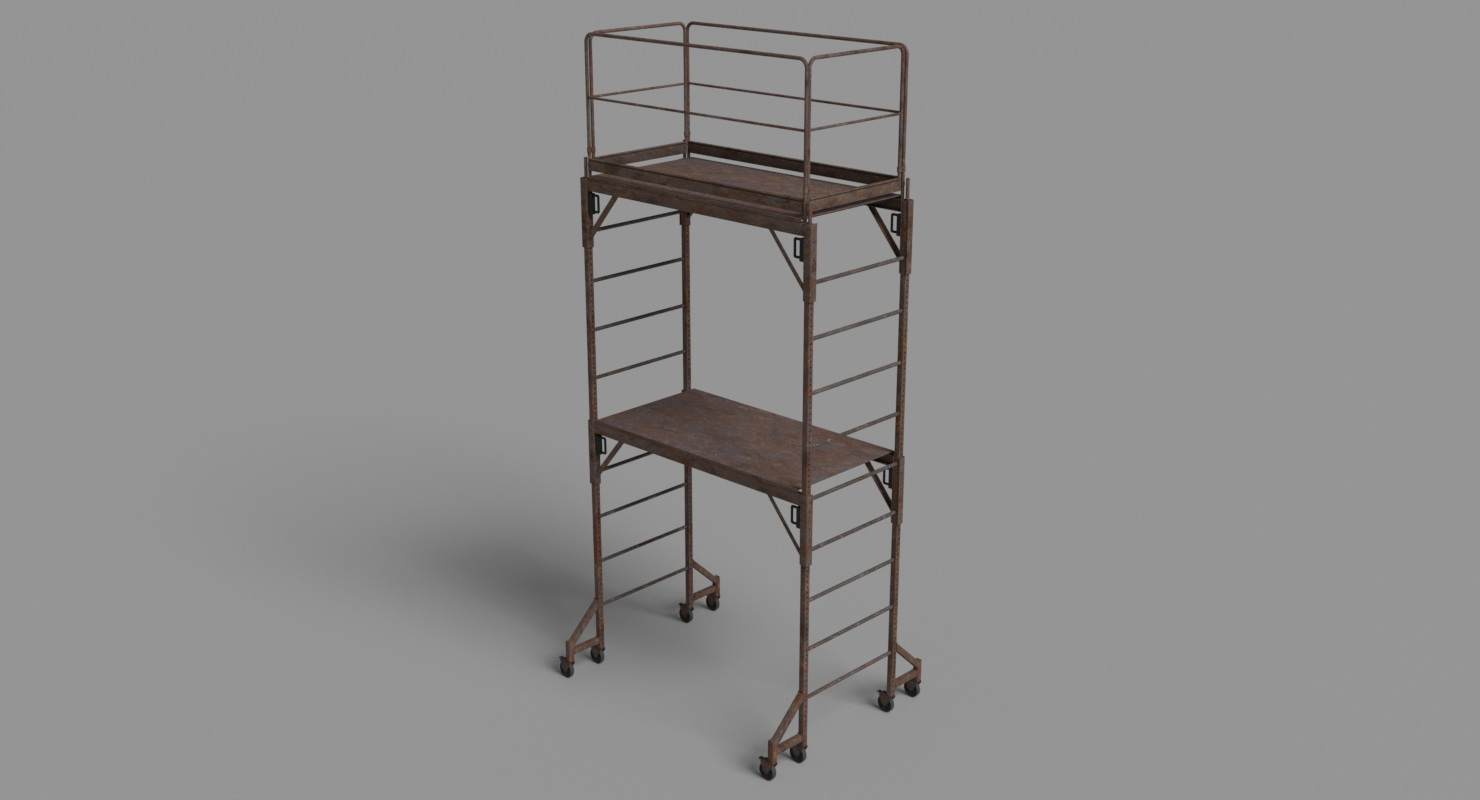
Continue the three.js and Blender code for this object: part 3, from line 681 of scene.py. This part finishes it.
def deck_frame():
    """Side angles, an angle across near each end and T-shaped ribs, with heights from the platform's
    top. What lies across sits a hair above the side angles' legs, so that no faces coincide."""
    top, foot, hair = -SHEET_T - GAP, -DECK_T, 0.2
    shape = Shape()
    side = [(DECK_Y, foot), (DECK_Y, top), (DECK_Y - RIM_T, top), (DECK_Y - RIM_T, foot + RIM_T),
            (DECK_Y - RIM_LEG, foot + RIM_T), (DECK_Y - RIM_LEG, foot)]
    low, high = foot + hair, foot + hair + RIM_T
    end = [(RIM_END, low), (RIM_END, top), (RIM_END - RIM_T, top), (RIM_END - RIM_T, high),
           (RIM_END - RIM_LEG, high), (RIM_END - RIM_LEG, low)]
    half_foot, half_web = RIB_FOOT / 2, RIB_WEB / 2
    half_tee = [(half_foot, low), (half_foot, high), (half_web, high), (half_web, top)]
    tee = rounded(half_tee + mirrored(half_tee), 0.6)
    inside = DECK_Y - RIM_T + 0.5
    for turn in (list, mirrored):
        angle = rounded(turn(side), 0.8)
        shape.sweep([station((x, 0, 0), X, Z) for x in (-DECK_X, DECK_X)], angle, "bracket")
        # the end angles under the platform take the dark paint: painted shade
        shape.slab(rounded(turn(end), 0.8), "XZ", -inside, inside, "under")
    for i in (-1, 0, 1):
        x = i * DECK_X / 2
        # the ribs under the platform take the dark paint: painted shade
        shape.slab([(x + u, v) for u, v in tee], "XZ", -inside, inside, "under")
        left, right = x - half_foot + 1, x + half_foot - 1
        for y in (RIM_LEG - DECK_Y, DECK_Y - RIM_LEG):
            shape.seam_weld((left, y, foot + RIM_T), (right, y, foot + RIM_T), 2.2, "weld")
    return shape


def deck_sheet():
    """Rounded plate with rows of plug rivets over the rim and the ribs."""
    shape = Shape()
    outline = rounded(rectangle(2 * DECK_X, 2 * DECK_Y), 5)
    edge = [(-SHEET_T, 0.4), (-SHEET_T + 0.8, 0), (-0.9, 0), (-0.25, 0.35), (0, 1.0)]
    inset = [[(u - math.copysign(i, u), v - math.copysign(i, v), z) for u, v in outline] for z, i in edge]
    shape.rings(inset, "deck")
    end, side = RIM_END - RIM_LEG / 2, DECK_Y - 18
    spots = set()
    for k in range(9):
        x = (k / 4 - 1) * end
        spots |= {(x, -side), (x, side)}
    for k in range(5):
        y = (k / 2 - 1) * side
        spots |= {(x, y) for x in (-end, -DECK_X / 2, 0, DECK_X / 2, end)}
    for x, y in sorted(spots):
        shape.dome((x, y, -0.1), Z, 11, 1.4, "deck")
    return shape


def rail_panel(node, foot):
    """A bent rail with its mid rail, in the XZ plane."""
    low, high = box(node)
    half = max(high.x - low.x, high.y - low.y) / 2 - RAIL_D / 2
    top = high.z - RAIL_D / 2
    shape = Shape()
    path = bent([(-half, 0, foot), (-half, 0, top), (half, 0, top), (half, 0, foot)], RAIL_BEND, Y)
    shape.sweep(path, circle(RAIL_D), "rail", circle(RAIL_D - 4))
    mid = RAIL_MID
    inner = half - RAIL_D / 2 + 1.5
    shape.sweep(run((-inner, 0, mid), (inner, 0, mid)), circle(MID_RAIL_D, 20), "rail")
    for x in (-inner + 1.2, inner - 1.2):
        shape.ring_weld((x, 0, mid), X, MID_RAIL_D + 1, 1.9, "weld")
    return shape


def toe_board(node):
    """Box-section board, painted darker inside as shade, with a groove under its top edge painted dark as
    shade, and a strap round each leg.
    """
    low, high = box(node)
    half = max(high.x - low.x, high.y - low.y) / 2
    tall = high.z - low.z
    wide, lip = TOE_T / 2, tall / 2 - 8
    floor, sill = wide - 4, lip - 9
    skin = [(wide, -tall / 2), (wide, sill), (floor, sill + 1), (floor, lip - 1), (wide, lip),
            (wide, tall / 2)]
    outline = rounded(skin + mirrored(skin), [3.2, 0.5, 0.5, 0.5, 0.5, 3.2] * 2, 3)
    shape = Shape()
    shape.sweep([station((x, 0, low.z + tall / 2), X, Z) for x in (-half, half)], outline, "board",
                [(u - math.copysign(2, u), v * (1 - 4 / tall)) for u, v in outline])
    # the inner faces take a darker copy of the paint: painted shade
    shape.repaint("inner_board", lambda spot: spot.y > wide - 0.8)
    groove_z = low.z + tall / 2 + (lip + sill) / 2

    def in_groove(spot):
        return abs(spot.z - groove_z) < 4 and floor - 0.2 < abs(spot.y) < wide - 0.1

    # the groove takes the dark paint: painted shade in the recess
    shape.repaint("under", in_groove)
    for s in (-1, 1):
        leg = s * (half + GAP + RAIL_D / 2)
        band = [(RAIL_D / 2 + 0.2, -9), (RAIL_D / 2 + 2, -9), (RAIL_D / 2 + 2, 9), (RAIL_D / 2 + 0.2, 9)]
        shape.turned(band, (leg, 0, low.z + tall / 2), Z, "board")
        for side in (-1, 1):
            shape.bolt((s * (half - 14), side * TOE_T / 2, low.z + tall / 2), Y * side, 9, 4.5, "bolt")
    return shape


def corner_clip(spacing):
    """Two bands round neighbouring legs, pinched by a bolt."""
    shape = Shape()
    for s in (-1, 1):
        bore, out = RAIL_D / 2 + GAP, RAIL_D / 2 + 3.2
        band = [(bore, 0), (out, 0), (out, CLIP_H), (bore, CLIP_H)]
        shape.turned(band, (s * spacing / 2, 0, 0), Z, "rail")
    shape.slab(rounded(rectangle(8, 27), 2), "XY", 0.5, CLIP_H - 0.5, "rail")
    for side in (-1, 1):
        shape.bolt((0, side * 13.5, CLIP_H / 2), Y * side, 8, 5, "bolt")
    return shape


def outrigger():
    """A leg on a beam and a brace, which reach along +Y from a post's axis and end in pads there."""
    half, leg_top = POST / 2, OUTRIG_LEG_TOP
    face = half + GAP + PAD_T
    shape = Shape()
    inner = OUTRIG_REACH - half
    head, foot = OUTRIG_BRACE_Z
    path = run((0, OUTRIG_REACH, FOOT["lower"]), (0, OUTRIG_REACH, leg_top), X)
    shape.sweep(path, POST_OUTLINE, "tube", POST_BORE)
    cap = run((0, OUTRIG_REACH, leg_top - 8), (0, OUTRIG_REACH, leg_top - 0.8), X)
    shape.sweep(cap, POST_PLUG, "tube")
    shape.sweep(run((0, face - 1, OUTRIG_BEAM_Z), (0, inner + 2, OUTRIG_BEAM_Z)), POST_OUTLINE, "tube")
    slope = (foot - head) / (OUTRIG_REACH - half)
    ends = [(0, y, head + slope * (y - half)) for y in (face - 1, OUTRIG_REACH)]
    # a hair slimmer than the leg that it runs into, so that their sides don't coincide
    shape.sweep(run(*ends, X), square(POST - 0.4, 4), "tube", cuts=((ends[0], Y), None))
    for z in (OUTRIG_BEAM_Z, head):
        shape.slab(rounded(rectangle(POST, 56, (0, z)), 3), "XZ", half + GAP, face, "tube")
    for z, y in ((OUTRIG_BEAM_Z, face), (OUTRIG_BEAM_Z, inner), (head, face)):
        tall = half if z == OUTRIG_BEAM_Z else half * math.hypot(1, slope)
        for side in (-1, 1):
            shape.seam_weld((side * half, y, z - tall + 3), (side * half, y, z + tall - 3), 2.4, "weld")
            shape.seam_weld((-half + 3, y, z + side * tall), (half - 3, y, z + side * tall), 2.4, "weld")
    return shape


def caster_fork():
    """Stem, swivel race, top plate, cheeks, axle bolt and the pedal's pin."""
    outer = FORK_IN + FORK_T
    px, pz = PEDAL_PIVOT
    shape = Shape()
    race = [(22, 128), (23, 129.5), (23, 133.2), (20.5, 134), (20.5, 135), (22.4, 135.4), (22.4, 137.4),
            (13, 137.5), (13, 199), (11, 200)]
    shape.turned(race, (0, 0, 0), Z, "fork", bored=False)
    plate = rounded(rectangle(81, 2 * outer, (-19.5, 0)), [10, 14, 14, 10])
    shape.slab(plate, "XY", FORK_TOP - FORK_T, FORK_TOP, "fork")
    cheek = rounded(
        [(21, FORK_TOP - 1), (21, FORK_TOP - 16), (-TRAIL + 14, WHEEL_R - 8), (-TRAIL, WHEEL_R - 14),
         (-TRAIL - 14, WHEEL_R - 8), (px - 7, pz - 6), (px - 7, pz + 7), (px + 4, FORK_TOP - 1)],
        [1, 5, 10, 8, 10, 5, 4, 3])
    for side in (-1, 1):
        shape.slab(cheek, "XZ", side * FORK_IN, side * outer, "fork")
        shape.bolt((-TRAIL, side * outer, WHEEL_R), Y * side, 18, 4, "bolt")
        shape.dome((px, side * outer, pz), Y * side, 9, 2.4, "bolt")
    shape.sweep(run((-TRAIL, -outer, WHEEL_R), (-TRAIL, outer, WHEEL_R)), circle(12, 20), "bolt")
    shape.sweep(run((px, -outer, pz), (px, outer, pz)), circle(6, 14), "bolt")
    shape.bolt((0, 0, FORK_TOP - FORK_T), -Z, 17, 8, "bolt")
    return shape


def wheel_profile(points):
    """A wheel's half section, given as (radius, half width), made whole."""
    return points + [(r, -y) for r, y in reversed(points)]


def tyre():
    """A ring with rounded shoulders, turned about Y."""
    shape = Shape()
    half = [(45, 12.5), (47, 15.2), (50, 16.6), (54, 16.8), (57, 15.6), (59, 13.2), (WHEEL_R, 9.5)]
    shape.turned(wheel_profile(half), (0, 0, 0), Y, "tyre", 72)
    return shape


def hub():
    """A bored boss, a web with six holes and the rim that carries the tyre."""
    body, holes = Shape(), Shape()
    half = [(6.3, 18.4), (12.5, 18.4), (13.6, 17.4), (14.4, 9), (16, 7.2), (37, 5.6), (41, 7), (43.5, 11),
            (45.2, 13), (46.2, 12.6)]
    body.turned(wheel_profile(half), (0, 0, 0), Y, "hub", 72)
    for i in range(6):
        angle = math.pi * i / 3
        x, z = 27 * math.cos(angle), 27 * math.sin(angle)
        holes.sweep(run((x, -20, z), (x, 20, z)), circle(13, 20), "hub")
    return carved(body, holes, "hub")


def brake_pedal():
    """A ribbed tread on a sleeve round its pin, and the round cam that it tips onto the tyre."""
    px, pz = PEDAL_PIVOT
    half = 15
    shape = Shape()
    ring = [(3.6, -half), (5.9, -half), (5.9, half), (3.6, half)]
    shape.turned(ring, (px, 0, pz), Y, "fork", 24)
    arm = rounded([(px - 4, pz + 4), (px - 3.5, pz - 1.5), (-PEDAL_REACH, pz + 4), (-PEDAL_REACH, pz + 9)],
                  [1, 1, 1.5, 1.5])
    shape.slab(arm, "XZ", -half, half, "fork")
    for k in range(5):
        x = -PEDAL_REACH + 5 + 4.6 * k
        z = pz + 9 - 5 * (x + PEDAL_REACH) / (PEDAL_REACH + px - 4)
        shape.sweep(run((x, 2 - half, z), (x, half - 2, z)), circle(2.6, 10), "fork")
    cam_x, cam_z = px + 0.9, box("brake_pedal_inner_front_right")[0].z + 4.1
    shape.sweep(run((cam_x, -half, cam_z), (cam_x, half, cam_z)), circle(8, 18), "fork")
    return shape


def lock_pin():
    """Arms along +X towards the post's axis, at the middle height of the loop."""
    reach = (LOCK_LOW.x - CENTRE_X - POST_X, LOCK_HIGH.x - CENTRE_X - POST_X)
    half = (LOCK_HIGH.z - LOCK_LOW.z - LOCK_D) / 2
    back = reach[0] + LOCK_D / 2
    shape = Shape()
    corners = [(reach[1], 0, half), (back, 0, half), (back, 0, -half), (reach[1], 0, -half)]
    path = bent(corners, LOCK_BEND, Y, 6)
    shape.sweep(path, circle(LOCK_D, 18), "black")
    for z in (half, -half):
        bore, out, near, far = LOCK_D / 2 - 0.2, COLLAR_D / 2, COLLAR_X, COLLAR_X - 3.5
        shape.turned([(bore, far), (out, far), (out, near), (bore, near)], (0, 0, z), X, "bolt", 24)
    return shape


# ------------------------------------------------------------------ assembly

RECORD = frame["record"]
BODY_OF = {node: body for body, nodes in RECORD["behaviour"]["bodies"].items() for node in nodes}
HALF_TURN = Matrix.Rotation(math.pi, 4, "Z")
QUARTER_TURN = Matrix.Rotation(math.pi / 2, 4, "Z")


def piece(name, mesh, node, at=(0, 0, 0), turn=Matrix()):
    """A detailed piece that stands for a node, or for part of it, and rides with it."""
    thing = bpy.data.objects.new(name, mesh)
    bpy.context.scene.collection.objects.link(thing)
    thing.matrix_world = Matrix.Translation((Vector(at) + X * CENTRE_X) * MM) @ turn
    edge = thing.modifiers.new("edges", "BEVEL")
    edge.width = 0.0006
    edge.segments = 2
    edge.limit_method = "ANGLE"
    edge.angle_limit = math.radians(50)
    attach(thing, BODY_OF[node])
    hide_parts(node)
    return thing


def ladders():
    for level in LEVELS:
        mesh = ladder_frame(level).mesh(f"{level}_ladder")
        for end, s in ENDS.items():
            turn = Matrix() if s > 0 else HALF_TURN
            piece(f"{level}_ladder_{end}", mesh, f"{level}_frame_{end}", (s * POST_X, 0, 0), turn)


def platforms():
    bracket = side_bracket().mesh("bracket")
    rim = deck_frame().mesh("deck_rim")
    sheet = deck_sheet().mesh("deck_plate")
    pin = lock_pin().mesh("lock_pin")
    pin_drop = middle("lower_lock_pin_front_right").z - DECK_TOP["lower"]
    for level in LEVELS:
        z = DECK_TOP[level]
        piece(f"{level}_deck_rim", rim, f"{level}_deck_frame", (0, 0, z))
        piece(f"{level}_deck_plate", sheet, f"{level}_deck_sheet", (0, 0, z))
        for side, d in SIDES.items():
            turn = HALF_TURN if d > 0 else Matrix()
            piece(f"{level}_side_bracket_{side}", bracket, f"{level}_bracket_{side}", (0, 0, z), turn)
            for end, s in ENDS.items():
                turn = Matrix() if s > 0 else HALF_TURN
                at = (s * POST_X, d * POST_Y, z + pin_drop)
                piece(f"{level}_pull_loop_{side}_{end}", pin, f"{level}_lock_pin_{side}_{end}", at, turn)


def guardrails():
    side_foot = box("guardrail_front")[0].z
    end_foot = box("guardrail_left")[0].z
    long_rail = rail_panel("guardrail_front", side_foot).mesh("long_rail")
    end_rail = rail_panel("guardrail_left", end_foot).mesh("end_rail")
    long_board = toe_board("toe_board_front").mesh("long_board")
    end_board = toe_board("toe_board_left").mesh("end_board")
    for side, d in SIDES.items():
        turn = HALF_TURN if d > 0 else Matrix()
        y = middle(f"guardrail_{side}").y
        piece(f"rail_{side}", long_rail, f"guardrail_{side}", (0, y, 0), turn)
        piece(f"kick_board_{side}", long_board, f"toe_board_{side}", (0, y, 0), turn)
    for end, s in ENDS.items():
        turn = QUARTER_TURN if s > 0 else QUARTER_TURN.inverted()
        x = middle(f"guardrail_{end}").x - CENTRE_X
        piece(f"rail_{end}", end_rail, f"guardrail_{end}", (x, 0, 0), turn)
        piece(f"kick_board_{end}", end_board, f"toe_board_{end}", (x, 0, 0), turn)


def leg_centre(node, x_side, y_side):
    low, high = box(node)
    x = high.x - RAIL_D / 2 if x_side > 0 else low.x + RAIL_D / 2
    y = high.y - RAIL_D / 2 if y_side > 0 else low.y + RAIL_D / 2
    return Vector((x - CENTRE_X, y))


def clips():
    long_leg, end_leg = leg_centre("guardrail_back", 1, 1), leg_centre("guardrail_right", 1, 1)
    mesh = corner_clip((long_leg - end_leg).length).mesh("clip")
    for side, d in SIDES.items():
        for end, s in ENDS.items():
            node = f"corner_clip_{side}_{end}"
            a, b = leg_centre(f"guardrail_{side}", s, d), leg_centre(f"guardrail_{end}", s, d)
            turn = Matrix.Rotation(math.atan2((a - b).y, (a - b).x), 4, "Z")
            piece(f"clip_{side}_{end}", mesh, node, (*((a + b) / 2), box(node)[0].z), turn)


def wheels_and_outriggers():
    arm = outrigger().mesh("outrigger_arm")
    fork = caster_fork().mesh("fork")
    tread = tyre().mesh("tyre")
    disc = hub().mesh("hub")
    pedal = brake_pedal().mesh("pedal")
    for side, d in SIDES.items():
        for end, s in ENDS.items():
            turn = HALF_TURN if d < 0 else Matrix()
            piece(f"arm_{side}_{end}", arm, f"outrigger_{side}_{end}", (s * POST_X, d * POST_Y, 0), turn)
            for row, reach in (("inner", 0), ("outer", OUTRIG_REACH)):
                tag = f"{row}_{side}_{end}"
                x, y = s * POST_X, d * (POST_Y + reach)
                piece(f"fork_{tag}", fork, f"caster_fork_{tag}", (x, y, 0))
                piece(f"tyre_{tag}", tread, f"wheel_{tag}", (x - TRAIL, y, WHEEL_R))
                piece(f"hub_{tag}", disc, f"wheel_{tag}", (x - TRAIL, y, WHEEL_R))
                piece(f"pedal_{tag}", pedal, f"brake_pedal_{tag}", (x, y, 0))


# ------------------------------------------------------------------ stage, lights and camera

LENS = 39.72
CAMERA_AT = (6814, -7136, 5447)
LOOK_DOWN = 18.906
AZIMUTH = 43.735


def studio():
    scene = bpy.context.scene
    scene.view_settings.view_transform = "Standard"
    mesh = bpy.data.meshes.new("floor")
    size = 90
    corners = [(u, v, 0) for u, v in rectangle(2 * size, 2 * size)]
    mesh.from_pydata(corners, [], [(0, 1, 2, 3)])
    n = Nodes("floor_paint")
    speck = n.noise(n.node("ShaderNodeTexCoord", 3), 30.0, 4.0, 0.6)
    colour = n.mix(n.range(speck, 0.3, 0.7), (0.47, 0.47, 0.47), (0.49, 0.49, 0.49))
    n.put(n.shader.inputs["Base Color"], colour)
    n.put(n.shader.inputs["Roughness"], 0.9)
    mesh.materials.append(n.material)
    floor = bpy.data.objects.new("floor", mesh)
    scene.collection.objects.link(floor)

    world = bpy.data.worlds.new("studio")
    world.use_nodes = True
    world.node_tree.nodes["Background"].inputs["Color"].default_value = (1, 1, 1, 1)
    world.node_tree.nodes["Background"].inputs["Strength"].default_value = 0.14
    scene.world = world

    sun = bpy.data.lights.new("key", "SUN")
    sun.energy = 2.2
    sun.angle = math.radians(32)
    key = bpy.data.objects.new("key", sun)
    key.rotation_mode = "QUATERNION"
    key.rotation_quaternion = Vector((0.72, -0.05, 0.68)).to_track_quat("Z", "Y")
    scene.collection.objects.link(key)


def camera():
    """Stands off the front right corner, well above the upper platform, looking down."""
    data = bpy.data.cameras.new("camera")
    data.lens = LENS
    data.sensor_width = 36
    data.clip_end = 300
    view = bpy.data.objects.new("camera", data)
    view.location = (Vector(CAMERA_AT) + X * CENTRE_X) * MM
    view.rotation_euler = (math.radians(90 - LOOK_DOWN), 0, math.radians(AZIMUTH))
    bpy.context.scene.collection.objects.link(view)
    bpy.context.scene.camera = view


camera()
studio()
ladders()
platforms()
guardrails()
clips()
wheels_and_outriggers()

bpy.context.view_layer.update()
